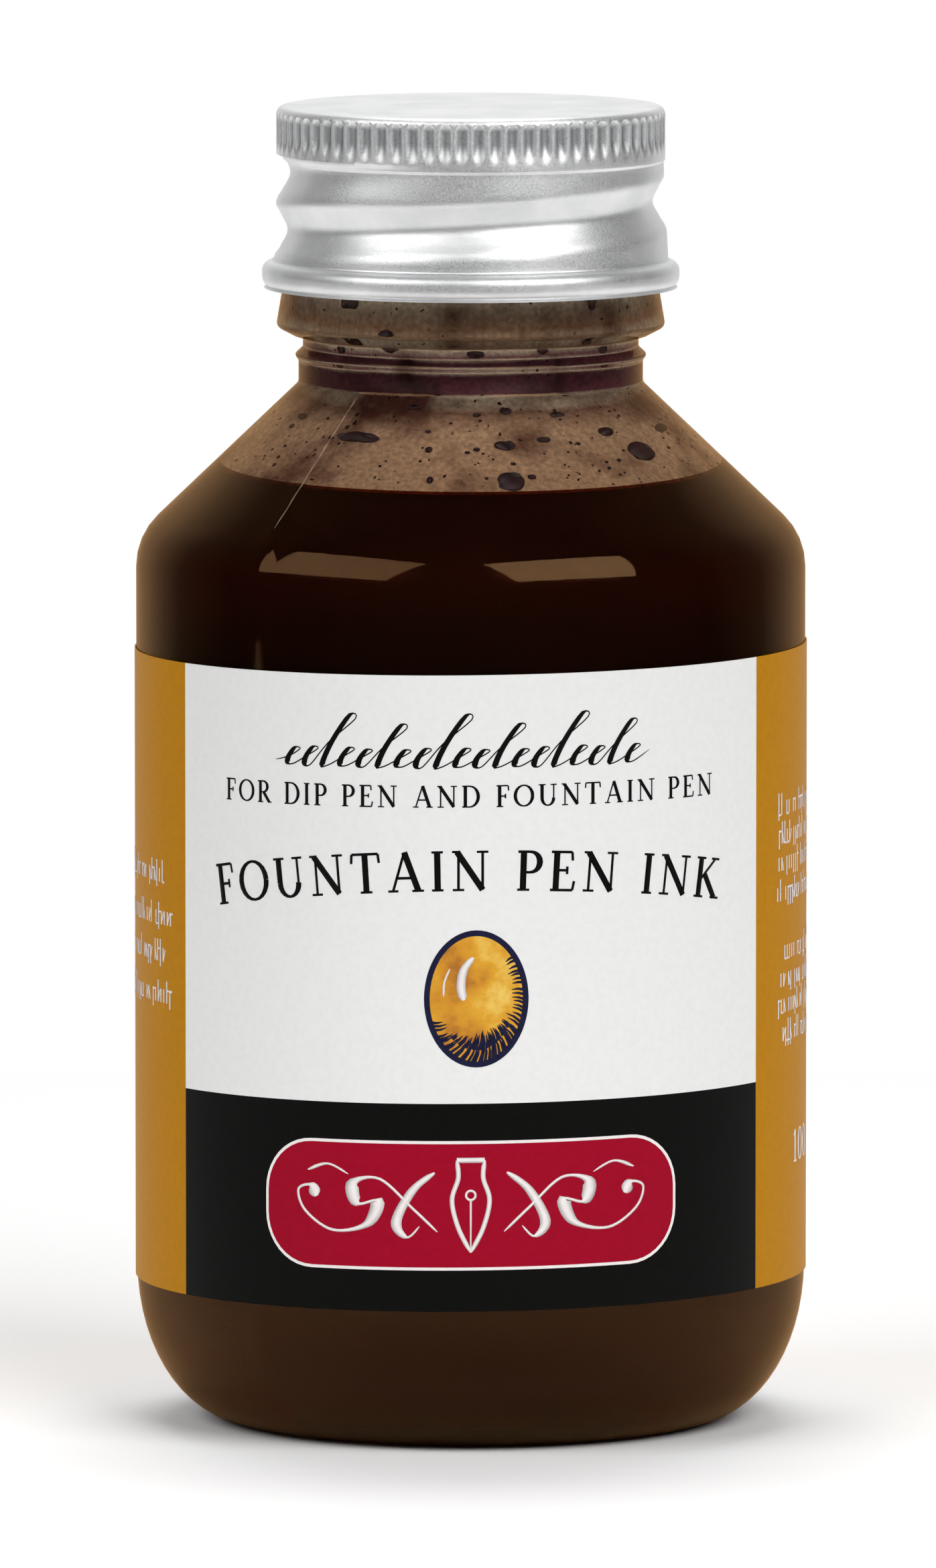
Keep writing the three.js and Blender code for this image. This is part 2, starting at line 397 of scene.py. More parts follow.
bottle = makeGlassBottle()
paint(bottle, bottleGlass("clearBottleGlass"), stainedGlassWithPaintedHighlights(), bottleGlass("wettedGlass", False))
for face in bottle.data.polygons:
    x, y, z = face.center
    face.material_index = glassSlotAt(math.hypot(x, y) / mm, z / mm)
fixPiece(bottle, "bottle", "clear_glass", "glass_bottle")
print("glass bottle made")


mouldSeams = {
    "halfWidth": 0.075, "from": 12.9, "to": 22.3, "proud": 0.10, "wobbleDegrees": 0.06, "steps": 24,     # mm
}


def makeSeams():
    # where the two halves of the mould met: a fine raised line down each side of the shoulder
    m = mouldSeams
    bpy.ops.object.select_all(action="DESELECT")
    curve = bpy.data.curves.new("mouldSeams", "CURVE")
    curve.dimensions = "3D"
    curve.bevel_depth = m["halfWidth"] * mm
    curve.bevel_resolution = 1
    for seam in (glassBottle["seamDegrees"], glassBottle["seamDegrees"] - 180):
        line = curve.splines.new("POLY")
        line.points.add(m["steps"])
        for k, point in enumerate(line.points):
            radius = m["from"] + (m["to"] - m["from"]) * k / m["steps"]
            angle = math.radians(seam + m["wobbleDegrees"] * math.sin(k * 1.3))
            point.co = (radius * math.cos(angle) * mm, radius * math.sin(angle) * mm,
                        (coneHeightAt(radius) + m["proud"]) * mm, 1)
            uneven = 0.9 + 0.25 * math.sin(k * 2.1)
            point.radius = uneven * (0.35 if k in (0, m["steps"]) else 1 - 0.4 * smoothStep(k, 13, 22))
    piece = bpy.data.objects.new("mouldSeams", curve)
    bpy.context.collection.objects.link(piece)
    piece.select_set(True)
    bpy.context.view_layer.objects.active = piece
    bpy.ops.object.convert(target="MESH")
    smoothAndFinish(piece, 80)
    return piece


def seamGlass():
    # the ridge scatters more light than the smooth wall, and shows brown with the ink behind it
    material, tree, shader, coordinates = newMaterial("seamGlass")
    tone = addNode(tree, "ShaderNodeTexNoise", inputs={"Scale": 1 / (0.8 * mm), "Detail": 3.0},
                   links={"Vector": coordinates})
    tint = colourRamp(tree, tone.outputs["Fac"], [(0.35, "5c402b"), (0.65, "9a7c5c")])
    tree.links.new(tint, shader.inputs["Base Color"])
    shader.inputs["Roughness"].default_value = 0.3
    return material


seams = makeSeams()
paint(seams, seamGlass())
fixPiece(seams, "bottle", "clear_glass")
print("seams made")

inkBody = {
    "overlap": 0.08,            # mm into the glass, so that the ink wets the wall with no air between
    "meniscus": 0.55,           # mm up the wall
    "meniscusWidth": 1.3,
    "absorption": "c7a58d",
    "density": 290.0,           # per metre
    "columns": 128,
}


def makeInk():
    g = glassBottle
    low = innerWallCorners(-inkBody["overlap"])
    level = g["fillLine"]
    wall = g["coneRadius"] - (g["wall"] - inkBody["overlap"]) * math.hypot(1, g["coneSlope"])
    edge = wall - g["coneSlope"] * (level + inkBody["meniscus"] - g["coneHeight"])
    surface = [(edge, level + inkBody["meniscus"], 0), (edge - inkBody["meniscusWidth"], level, 0.9),
               (0, level, 0)]
    outline = roundedOutline(low + surface)
    piece = turnPiece("inkFill", fineRows(outline, 4.0, 5, 68), inkBody["columns"])
    smoothAndFinish(piece)
    return piece


def writingInk():
    # brown writing ink: near black in bulk, brown where the light's way through it is short
    material, tree, shader, coordinates = newMaterial("brownWritingInk")
    shader.inputs["Base Color"].default_value = linearColour("8a3420")
    shader.inputs["Transmission Weight"].default_value = 0.93
    shader.inputs["IOR"].default_value = 1.34
    shader.inputs["Specular Tint"].default_value = linearColour("5a3018")
    shader.inputs["Roughness"].default_value = 0.0
    absorb = addNode(tree, "ShaderNodeVolumeAbsorption", inputs={
        "Color": linearColour(inkBody["absorption"]), "Density": inkBody["density"]})
    tree.links.new(absorb.outputs["Volume"], tree.nodes["Material Output"].inputs["Volume"])
    return material


ink = makeInk()
paint(ink, writingInk())
fixPiece(ink, "bottle", "ink", "ink_fill")
print("ink made")

screwCap = {
    "top": 96.2, "radius": 14.18, "skirt": 14.42, "sheet": 0.28,
    "beadRadius": 15.25, "beadMiddle": 83.9, "beadTop": 84.85, "beadBottom": 82.95,
    "bandBottom": 92.65, "bandTop": 95.75, "flutes": 72, "fluteDepth": 0.30, "fluteWidth": 0.72,
    "toeLength": 1.7, "columnsPerFlute": 9,
    # turns are from, to and fade in degrees
    "grooveDepth": 0.95, "grooveHalfWidth": 2.1, "grooveTurn": (15, 625, 90),
    # the roller's creases: how far beside the groove's middle, and how deep
    "creases": [(1.35, 0.10), (-1.25, 0.12), (-1.75, 0.07)], "creaseHalfWidth": 0.42,
    "creaseTurn": (60, 590, 60),
}


def makeCap():
    c = screwCap
    outline = roundedOutline([
        (0, c["top"], 0), (c["radius"], c["top"], 0.6), (c["radius"], c["bandBottom"] - 0.35, 0.2),
        (c["radius"] - 0.12, c["bandBottom"] - 0.5, 0.2), (c["skirt"], c["beadTop"] + 0.1, 0.25),
        (c["beadRadius"], c["beadTop"] - 0.1, 0.75), (c["beadRadius"] - 0.05, c["beadBottom"] + 0.05, 0.8),
        (14.35, c["beadBottom"] + 0.02, 0.45), (14.3, c["beadMiddle"] + 0.25, 0)], 18)
    outline = fineRows(outline, 0.2, c["bandBottom"] - 0.2, c["bandTop"])
    outline = fineRows(outline, 0.36, c["beadTop"], c["bandBottom"] - 0.2)
    outline.insert(1, (6, c["top"]))
    piece = turnPiece("screwCap", outline, c["flutes"] * c["columnsPerFlute"])

    def rollAndFlute(degrees, radius, z):
        if c["bandBottom"] < z < c["bandTop"] and radius > c["radius"] - 0.4:
            # pockets pressed in between narrow ridges: square at the top, running out in a round toe below
            across = abs((degrees * c["flutes"] / 360) % 1 - 0.5) * 2
            up = z - c["bandBottom"]
            depth = smoothStep(c["bandTop"] - z, 0.02, 0.28) * smoothStep(up, 0.0, c["toeLength"])
            width = c["fluteWidth"] * math.sqrt(max(0.02, min(1, up / 0.8)))
            return -c["fluteDepth"] * depth * (1 - smoothStep(across / width, 0.3, 1.25))
        if c["beadTop"] + 0.1 < z <= c["bandBottom"]:
            # the roller's wide groove, and the fine creases along its sides
            away = -c["grooveDepth"] * helicalForm(degrees, z, c["grooveHalfWidth"], *c["grooveTurn"])
            for side, deep in c["creases"]:
                away -= deep * helicalForm(degrees, z, c["creaseHalfWidth"], *c["creaseTurn"], side)
            return away
        return 0

    reshape(piece, rollAndFlute)
    applyModifier(piece, "SOLIDIFY", thickness=c["sheet"] * mm, offset=-1, use_even_offset=False)
    smoothAndFinish(piece, 50)
    return piece


def rolledAluminium():
    # rolled aluminium sheet, unpainted metal: satin, with a fine grain and a faint cloudiness; its colour
    # also carries painted shade in the flutes' pockets
    material, tree, shader, coordinates = newMaterial("rolledAluminium")
    shader.inputs["Metallic"].default_value = 1.0
    grain = addNode(tree, "ShaderNodeTexNoise", inputs={"Scale": 1 / (0.12 * mm), "Detail": 2.0},
                    links={"Vector": coordinates})
    cloud = addNode(tree, "ShaderNodeTexNoise", inputs={"Scale": 1 / (3.5 * mm), "Detail": 4.0},
                    links={"Vector": coordinates})
    tint = colourRamp(tree, cloud.outputs["Fac"], [(0.3, "dcddde"), (0.7, "ebebeb")])
    # painted shade and highlight: the pockets between the ridges are painted darker and the ridge tops
    # lighter, standing in for their light and shade
    c = screwCap
    parts = addNode(tree, "ShaderNodeSeparateXYZ", links={"Vector": coordinates})
    flat = addNode(tree, "ShaderNodeCombineXYZ", links={"X": parts.outputs["X"], "Y": parts.outputs["Y"]})
    radius = addNode(tree, "ShaderNodeVectorMath", settings={"operation": "LENGTH"},
                     links={0: flat.outputs["Vector"]})
    proud = addNode(tree, "ShaderNodeMapRange", links={"Value": radius.outputs["Value"]}, inputs={
        "From Min": (c["radius"] - 0.9 * c["fluteDepth"]) * mm, "From Max": c["radius"] * mm})
    above = addNode(tree, "ShaderNodeMapRange", links={"Value": parts.outputs["Z"]}, inputs={
        "From Min": (c["bandBottom"] - 0.1) * mm, "From Max": (c["bandBottom"] + 0.1) * mm})
    below = addNode(tree, "ShaderNodeMapRange", links={"Value": parts.outputs["Z"]}, inputs={
        "From Min": (c["bandTop"] + 0.2) * mm, "From Max": c["bandTop"] * mm})
    onBand = addNode(tree, "ShaderNodeMath", settings={"operation": "MULTIPLY"},
                     links={0: above.outputs["Result"], 1: below.outputs["Result"]})
    paintedPocketShade = addNode(tree, "ShaderNodeMix", settings={"data_type": "RGBA", "blend_type": "MULTIPLY"})
    tree.links.new(onBand.outputs["Value"], paintedPocketShade.inputs["Factor"])
    tree.links.new(tint, paintedPocketShade.inputs["A"])
    # painted shade: grey at the pocket bottoms, white on the ridge tops
    pocketShadeRamp = colourRamp(tree, proud.outputs["Result"], [(0.0, "c4c6c8"), (0.75, "ffffff")])
    tree.links.new(pocketShadeRamp, paintedPocketShade.inputs["B"])
    tree.links.new(paintedPocketShade.outputs["Result"], shader.inputs["Base Color"])
    rough = addNode(tree, "ShaderNodeMapRange", links={"Value": grain.outputs["Fac"]}, inputs={
        "From Min": 0.3, "From Max": 0.7, "To Min": 0.40, "To Max": 0.54})
    tree.links.new(rough.outputs["Result"], shader.inputs["Roughness"])
    bump = addNode(tree, "ShaderNodeBump", inputs={"Strength": 0.35, "Distance": 0.02 * mm},
                   links={"Height": grain.outputs["Fac"]})
    tree.links.new(bump.outputs["Normal"], shader.inputs["Normal"])
    return material


cap = makeCap()
paint(cap, rolledAluminium())
fixPiece(cap, "cap", "rolled_aluminium", "cap_shell")
print("cap made")

paperLabel = {
    "radius": 24.47, "thickness": 0.10, "bottom": 10.8, "top": 56.9, "halfFront": 24.5,     # mm
    "bandTop": 25.9, "length": 157.0, "overlapFrom": 75.2, "overlapRise": 1.3,
    "cutEdge": 0.09,        # bare paper under the black band, where the knife ran
    "askew": 0.26,          # mm up on the right and down on the left, as it was glued
}


def wrapOnBottle(piece, lift):
    # x is the way round from the front's middle and y the height, both flat; z is the height off the paper
    label = paperLabel
    base = label["radius"] * mm
    for vertex in piece.data.vertices:
        around, height, off = vertex.co
        over = smoothStep(around / mm, label["overlapFrom"], label["overlapFrom"] + 1.5)
        over *= label["overlapRise"] * label["thickness"]
        radius = base + off + (lift + over) * mm
        angle = around / base
        tilt = label["askew"] * mm * math.sin(angle)
        vertex.co = (radius * math.sin(angle), -radius * math.cos(angle), height + tilt)


def cutInStrips(piece, step, low, high):
    # cuts across a flat piece so that it can follow the wall's curve
    bpy.ops.object.select_all(action="DESELECT")
    piece.select_set(True)
    bpy.context.view_layer.objects.active = piece
    bpy.ops.object.mode_set(mode="EDIT")
    count = int((high - low) / step)
    for i in range(count + 1):
        bpy.ops.mesh.select_all(action="SELECT")
        bpy.ops.mesh.bisect(plane_co=((low + i * step) * mm, 0, 0), plane_no=(1, 0, 0))
    bpy.ops.object.mode_set(mode="OBJECT")


def makeLabel():
    label = paperLabel
    high = label["top"] - label["bottom"]
    bpy.ops.object.select_all(action="DESELECT")
    bpy.ops.mesh.primitive_grid_add(x_subdivisions=240, y_subdivisions=12, size=1, location=(0, 0, 0))
    piece = bpy.context.object
    piece.name = piece.data.name = "wrapLabel"
    bpy.ops.object.mode_set(mode="EDIT")
    bpy.ops.mesh.select_all(action="SELECT")
    bpy.ops.transform.resize(value=(label["length"] * mm, high * mm, 1))
    bpy.ops.transform.translate(value=(0, (label["bottom"] + high / 2) * mm, 0))
    # cut along the edges of the white, black and ochre fields
    for place, normal in (((label["halfFront"] * mm, 0, 0), (1, 0, 0)),
                          ((-label["halfFront"] * mm, 0, 0), (1, 0, 0)),
                          ((0, label["bandTop"] * mm, 0), (0, 1, 0)),
                          ((0, (label["bottom"] + label["cutEdge"]) * mm, 0), (0, 1, 0))):
        bpy.ops.mesh.select_all(action="SELECT")
        bpy.ops.mesh.bisect(plane_co=place, plane_no=normal)
    bpy.ops.object.mode_set(mode="OBJECT")
    return piece


def printedPaper(name, hexText, darker, shine=0.3):
    # coated label paper, offset printed: even ink, very faint fibre mottle
    material, tree, shader, coordinates = newMaterial(name)
    mottle = addNode(tree, "ShaderNodeTexNoise", inputs={"Scale": 1 / (0.5 * mm), "Detail": 4.0},
                     links={"Vector": coordinates})
    tint = colourRamp(tree, mottle.outputs["Fac"], [(0.35, darker), (0.6, hexText)])
    tree.links.new(tint, shader.inputs["Base Color"])
    shader.inputs["Roughness"].default_value = 0.45
    shader.inputs["Specular IOR Level"].default_value = shine
    fibre = addNode(tree, "ShaderNodeTexNoise", inputs={"Scale": 1 / (0.2 * mm), "Detail": 2.0},
                    links={"Vector": coordinates})
    bump = addNode(tree, "ShaderNodeBump", inputs={"Strength": 0.08, "Distance": 0.02 * mm},
                   links={"Height": fibre.outputs["Fac"]})
    tree.links.new(bump.outputs["Normal"], shader.inputs["Normal"])
    return material


whitePaper = printedPaper("whiteLabelPaper", "e6e6e5", "e3e3e2", 0.15)
blackPrint = printedPaper("blackPrintedPaper", "0d0d0c", "0b0b0a", 0.05)
ochrePrint = printedPaper("ochrePrintedPaper", "b77d10", "b2790e", 0.03)
redPrint = printedPaper("redPrintedPaper", "9b0926", "960824", 0.05)
palePrint = printedPaper("palePrintedPaper", "ece6e4", "e8e2e0")

label = makeLabel()
paint(label, whitePaper, blackPrint, ochrePrint)
for face in label.data.polygons:
    if abs(face.center.x) > paperLabel["halfFront"] * mm:
        face.material_index = 2
    elif (paperLabel["bottom"] + paperLabel["cutEdge"]) * mm < face.center.y < paperLabel["bandTop"] * mm:
        face.material_index = 1
wrapOnBottle(label, 0)
applyModifier(label, "SOLIDIFY", thickness=paperLabel["thickness"] * mm, offset=1)
smoothAndFinish(label, 40)
fixPiece(label, "bottle", "printed_paper", "wrap_label")
print("label made")


def penStrokes(name, strokes, material, lift=0.012):
    # strokes are rows of (x, y, width) in mm on the flat label; each becomes a flat ribbon of printing ink
    bpy.ops.object.select_all(action="DESELECT")
    curve = bpy.data.curves.new(name, "CURVE")
    curve.dimensions = "3D"
    curve.bevel_depth = mm
    curve.bevel_resolution = 0
    curve.use_fill_caps = True
    for stroke in strokes:
        row = [stroke[0]]
        for a, b in zip(stroke, stroke[1:]):
            count = max(1, math.ceil(math.hypot(a[0] - b[0], a[1] - b[1]) / 0.5))
            row += [tuple(p + (q - p) * k / count for p, q in zip(a, b)) for k in range(1, count + 1)]
        line = curve.splines.new("POLY")
        line.points.add(len(row) - 1)
        for point, (x, y, width) in zip(line.points, row):
            point.co = (x * mm, y * mm, 0, 1)
            point.radius = width / 2
    piece = bpy.data.objects.new(name, curve)
    bpy.context.collection.objects.link(piece)
    piece.select_set(True)
    bpy.context.view_layer.objects.active = piece
    bpy.ops.object.convert(target="MESH")
    for vertex in piece.data.vertices:
        # the round strokes are pressed to a film
        vertex.co.z = max(-1, min(1, vertex.co.z / (0.05 * mm))) * 0.008 * mm
    paint(piece, material)
    wrapOnBottle(piece, paperLabel["thickness"] + lift)
    fixPiece(piece, "bottle", "printed_paper")
    return piece


def curvedStroke(points, thin, thick, steps=7):
    # a smooth pen line through the points, broad on the way down and fine on the way up
    rows = []
    ends = [points[0]] + points + [points[-1]]
    for a, b, c, d in zip(ends, ends[1:], ends[2:], ends[3:]):
        for k in range(steps):
            t = k / steps
            rows.append(tuple(0.5 * (2 * b[i] + (c[i] - a[i]) * t
                                     + (2 * a[i] - 5 * b[i] + 4 * c[i] - d[i]) * t * t
                                     + (3 * b[i] - a[i] - 3 * c[i] + d[i]) * t ** 3) for i in (0, 1)))
    rows.append(points[-1])
    out = []
    for i, (x, y) in enumerate(rows):
        before, after = rows[max(0, i - 1)], rows[min(len(rows) - 1, i + 1)]
        down = (before[1] - after[1]) / (math.hypot(before[0] - after[0], before[1] - after[1]) or 1)
        ending = min(1, 0.35 + i / 4, 0.35 + (len(rows) - 1 - i) / 4)
        out.append((x, y, (thin + (thick - thin) * max(0, down) ** 1.6) * ending))
    return out


# letters one unit high: their width, straight strokes as (x, y, x, y, width), and rounds as
# (x, y, half width, half height, from, to)
stem, bar, foot = 0.165, 0.07, 0.06
letters = {
    "A": (0.94, [(0.13, 0, 0.46, 1.02, bar), (0.46, 1.02, 0.80, 0, stem), (0.26, 0.34, 0.67, 0.34, bar),
                 (0, 0, 0.27, 0, foot), (0.64, 0, 0.95, 0, foot)], []),
    "D": (0.86, [(0.17, 0, 0.17, 1, stem), (0.02, 0, 0.40, 0, bar), (0.02, 1, 0.40, 1, bar)],
          [(0.38, 0.5, 0.41, 0.5, -90, 90)]),
    "E": (0.70, [(0.17, 0, 0.17, 1, stem), (0.02, 0, 0.62, 0, bar), (0.62, 0, 0.66, 0.24, bar),
                 (0.02, 1, 0.58, 1, bar), (0.58, 1, 0.60, 0.78, bar), (0.17, 0.52, 0.46, 0.52, bar),
                 (0.46, 0.62, 0.46, 0.42, bar)], []),
    "F": (0.64, [(0.17, 0, 0.17, 1, stem), (0.02, 0, 0.34, 0, foot), (0.02, 1, 0.58, 1, bar),
                 (0.58, 1, 0.60, 0.76, bar), (0.17, 0.50, 0.45, 0.50, bar),
                 (0.45, 0.61, 0.45, 0.39, bar)], []),
    "I": (0.36, [(0.18, 0, 0.18, 1, stem), (0.03, 0, 0.33, 0, foot), (0.03, 1, 0.33, 1, foot)], []),
    "K": (0.88, [(0.17, 0, 0.17, 1, stem), (0.02, 0, 0.33, 0, foot), (0.02, 1, 0.33, 1, foot),
                 (0.18, 0.42, 0.67, 1, bar), (0.33, 0.58, 0.74, 0, stem), (0.54, 1, 0.82, 1, foot),
                 (0.60, 0, 0.90, 0, foot)], []),
    "N": (0.96, [(0.17, 0, 0.17, 1, bar), (0.13, 1, 0.80, 0, stem), (0.80, 0, 0.80, 1, bar),
                 (0.02, 0, 0.32, 0, foot), (0, 1, 0.20, 1, foot), (0.65, 1, 0.95, 1, foot)], []),
    "O": (0.96, [], [(0.48, 0.5, 0.42, 0.5, 0, 360)]),
    "P": (0.68, [(0.17, 0, 0.17, 1, stem), (0.02, 0, 0.34, 0, foot), (0.02, 1, 0.36, 1, bar),
                 (0.17, 0.46, 0.36, 0.46, bar)], [(0.35, 0.73, 0.25, 0.27, -90, 90)]),
    "R": (0.80, [(0.17, 0, 0.17, 1, stem), (0.02, 0, 0.34, 0, foot), (0.02, 1, 0.36, 1, bar),
                 (0.17, 0.48, 0.36, 0.48, bar), (0.36, 0.48, 0.70, 0, stem),
                 (0.62, 0, 0.84, 0, foot)], [(0.35, 0.74, 0.24, 0.26, -90, 90)]),
    "T": (0.80, [(0.40, 0, 0.40, 1, stem), (0.24, 0, 0.56, 0, foot), (0.04, 1, 0.76, 1, bar),
                 (0.04, 1, 0.02, 0.76, bar), (0.76, 1, 0.78, 0.76, bar)], []),
    "U": (0.92, [(0.18, 1, 0.18, 0.36, stem), (0.75, 1, 0.75, 0.36, bar), (0.02, 1, 0.35, 1, foot),
                 (0.60, 1, 0.90, 1, foot)], [(0.465, 0.36, 0.285, 0.36, 180, 360)]),
    "1": (0.46, [(0.24, 0, 0.24, 1, stem), (0.08, 0, 0.40, 0, foot), (0.07, 0.82, 0.24, 1, bar)], []),
    "0": (0.64, [], [(0.32, 0.5, 0.25, 0.5, 0, 360)]),
    " ": (0.34, [], []),
}


def letterStrokes(text, middle, height, baseline, gap, rise=0.0):
    # one line of capitals about x = middle; rise lets the baseline fall away to both sides, per mm squared
    total = sum(letters[one][0] + gap for one in text) * height
    x = middle - total / 2
    out = []
    for one in text:
        width, bars, rounds = letters[one]
        centre = x + width * height / 2
        drop, lean = -rise * (centre - middle) ** 2, -2 * rise * (centre - middle)

        def placed(u, v, thickness, x=x, centre=centre, drop=drop, lean=lean):
            px, py = x + u * height, baseline + v * height + drop
            return (px - lean * v * height, py + lean * (px - centre), thickness * height)

        for u0, v0, u1, v1, thickness in bars:
            out.append([placed(u0, v0, thickness), placed(u1, v1, thickness)])
        for u, v, halfWidth, halfHeight, start, end in rounds:
            steps = max(8, int((end - start) / 18))
            row = []
            for k in range(steps + 1):
                angle = math.radians(start + (end - start) * k / steps)
                thickness = bar + (stem - bar) * abs(math.cos(angle)) ** 1.5
                across, up = halfWidth * math.cos(angle), halfHeight * math.sin(angle)
                row.append(placed(u + across, v + up, thickness))
            out.append(row)
        x += (width + gap) * height
    return out


labelArt = {
    # in mm on the flat label: x from the front's middle, y up from the base
    "loopHeights": [1.2, 1.3, 3.7, 1.3, 1.2, 3.0] * 3 + [1.2], "loopPitch": 1.42, "loopLean": 0.62,
    "loopStart": -14.0, "scriptBase": 50.3,
    "smallBase": 47.4, "smallHeight": 1.5, "smallGap": 0.22,     # gaps are shares of the letters' height
    "titleBase": 41.4, "titleHeight": 2.75, "titleGap": 0.19, "titleArch": 0.0041,
    "numeral": (33.6, 19.3), "numeralHeight": 2.3, "numeralGap": 0.12,
    # middle, half width and half height
    "stone": (0.4, 33.5, 3.55, 4.75), "plaque": (0.0, 18.5, 15.8, 4.7),
    # small print: where it starts, the lines' heights, their length, and which way they run
    "rightPrint": (27.6, (45.0, 42.9, 40.9, 38.7, 34.4, 32.4, 30.5, 28.4), 17, 1),
    "leftPrint": (-26.6, (40.6, 37.5, 34.8, 31.8), 18, -1),
}


def penLoops(x, y, heights):
    # a pen-practice line: a loop for each height, all leaning forward, that spells nothing
    points = [(x - 0.9, y + 0.25)]
    for height in heights:
        slant = labelArt["loopLean"] * height
        points += [(x + 0.28 * slant, y + 0.45 * height), (x + slant + 0.42, y + 0.92 * height),
                   (x + slant + 0.02, y + height), (x + 0.45 * slant - 0.1, y + 0.48 * height),
                   (x + 0.12, y + 0.05), (x + 0.62, y + 0.02)]
        x += labelArt["loopPitch"]
    points.append((x + 0.5, y + 0.75))
    return curvedStroke(points, 0.09, 0.46, 4)


def flatShape(name, kind, halfWidth, halfHeight, x, y, material, lift, corner=0.0):
    # a flat printed patch, cut in strips and laid on the label
    bpy.ops.object.select_all(action="DESELECT")
    if kind == "oval":
        bpy.ops.mesh.primitive_circle_add(vertices=64, radius=1, fill_type="NGON")
    else:
        bpy.ops.mesh.primitive_plane_add(size=2)
    piece = bpy.context.object
    piece.name = piece.data.name = name
    bpy.ops.object.mode_set(mode="EDIT")
    bpy.ops.mesh.select_all(action="SELECT")
    bpy.ops.transform.resize(value=(halfWidth * mm, halfHeight * mm, 1))
    if corner:
        bpy.ops.mesh.bevel(offset=corner * mm, segments=10, affect="VERTICES")
    bpy.ops.mesh.select_all(action="SELECT")
    bpy.ops.transform.translate(value=(x * mm, y * mm, 0))
    bpy.ops.object.mode_set(mode="OBJECT")
    cutInStrips(piece, 0.6, x - halfWidth, x + halfWidth)
    paint(piece, material)
    wrapOnBottle(piece, paperLabel["thickness"] + lift)
    applyModifier(piece, "SOLIDIFY", thickness=0.004 * mm, offset=1)
    fixPiece(piece, "bottle", "printed_paper")
    return piece


def amberPaint():
    # painted amber: clouds of colour from brown to pale amber
    material, tree, shader, coordinates = newMaterial("amberPaint")
    cloud = addNode(tree, "ShaderNodeTexNoise", links={"Vector": coordinates}, inputs={
        "Scale": 1 / (3.2 * mm), "Detail": 5.0, "Roughness": 0.6})
    tint = colourRamp(tree, cloud.outputs["Fac"],
                      [(0.34, "a8660a"), (0.46, "cc8a0e"), (0.58, "d89c18"), (0.72, "e8c25a")])
    tree.links.new(tint, shader.inputs["Base Color"])
    shader.inputs["Roughness"].default_value = 0.5
    return material


# mm off the paper, for prints laid on one another
printLift = {"under": 0.004, "over": 0.012, "top": 0.020}


def strokeAbout(x, y, points, thin, thick, side=1):
    # a curved stroke drawn about a middle; side -1 mirrors it to the left
    return curvedStroke([(x + side * u, y + v) for u, v in points], thin, thick)


def stoneHatching(x, y, halfWidth, halfHeight):
    # short slanting pen strokes in from the rim, longest underneath
    rows = []
    for i in range(46):
        around = -158 + 4.4 * i + random.uniform(-1.5, 1.5)
        lean = math.radians(62 + 1.05 * (around + 90))
        low = math.exp(-((around + 80) / 55) ** 2)
        for start, length in ((0.97, 0.75 + 1.0 * low), (0.78, 1.3 * low)):
            if length < 0.5:
                continue
            length *= random.uniform(0.75, 1.15)
            u = x + halfWidth * start * math.cos(math.radians(around))
            v = y + halfHeight * start * math.sin(math.radians(around))
            rows.append([(u + length * t * math.cos(lean + 0.25 * t),
                          v + length * t * math.sin(lean + 0.25 * t), width)
                         for t, width in ((0, 0.22), (0.5, 0.17), (1, 0.05))])
    return rows


def makeStone():
    # a drawn drop of amber: navy outline and hatching, painted body, two pale glints
    x, y, halfWidth, halfHeight = labelArt["stone"]
    navyPrint = printedPaper("navyPrint", "16183a", "121430", 0.15)
    flatShape("stoneOutline", "oval", halfWidth + 0.22, halfHeight + 0.22, x, y, navyPrint,
              printLift["under"])
    flatShape("stoneBody", "oval", halfWidth - 0.2, halfHeight - 0.2, x, y, amberPaint(),
              printLift["over"])
    random.seed(9)
    penStrokes("stoneShading", stoneHatching(x, y, halfWidth, halfHeight), navyPrint, printLift["top"])
    glints = [strokeAbout(x, y, [(-0.2, 3.0), (-0.9, 2.1), (-1.1, 0.9), (-0.9, -0.1)], 0.16, 0.66),
              strokeAbout(x, y, [(-1.9, 2.2), (-2.3, 1.2), (-2.35, 0.2)], 0.07, 0.16)]
    penStrokes("stoneHighlight", glints, palePrint, printLift["top"])


def makePlaque():
    # a plain rounded bar with a nib between pairs of flourishes
    x, y, halfWidth, halfHeight = labelArt["plaque"]
    flatShape("plaqueEdge", "plane", halfWidth, halfHeight, x, y, palePrint, printLift["under"], 3.9)
    flatShape("plaqueFace", "plane", halfWidth - 0.22, halfHeight - 0.22, x, y, redPrint,
              printLift["over"], 3.7)
    nibEdge = [(0, -3.4), (0.9, -1.6), (1.35, 0.4), (0.9, 2.0), (1.0, 3.3)]
    ventHole = []
    for degrees in range(0, 361, 24):
        angle = math.radians(degrees)
        ventHole.append((x + 0.34 * math.cos(angle), y + 0.75 + 0.34 * math.sin(angle), 0.18))
    rows = [strokeAbout(x, y, nibEdge, 0.34, 0.5), strokeAbout(x, y, nibEdge, 0.34, 0.5, -1),
            [(x - 1.0, y + 3.3, 0.38), (x + 1.0, y + 3.3, 0.38)],
            [(x, y - 3.4, 0.10), (x, y + 0.4, 0.16)], ventHole]
    sweep = [(2.4, -1.9), (4.2, -0.2), (6.6, 1.9), (8.6, 1.6), (8.3, 0.1), (6.8, 0.3), (7.6, -1.4),
             (10.2, -1.9), (12.4, -0.6), (13.0, 0.9), (12.0, 1.3), (11.5, 0.5)]
    under = [(2.6, 2.4), (4.2, 1.1), (5.4, -1.2), (4.6, -2.3), (3.7, -1.5)]
    brow = [(9.0, 2.2), (10.6, 2.9), (12.2, 2.4)]
    for side in (-1, 1):
        rows += [strokeAbout(x, y, sweep, 0.20, 1.05, side), strokeAbout(x, y, under, 0.16, 0.8, side),
                 strokeAbout(x, y, brow, 0.16, 0.6, side)]
    penStrokes("plaqueOrnament", rows, palePrint, printLift["top"])


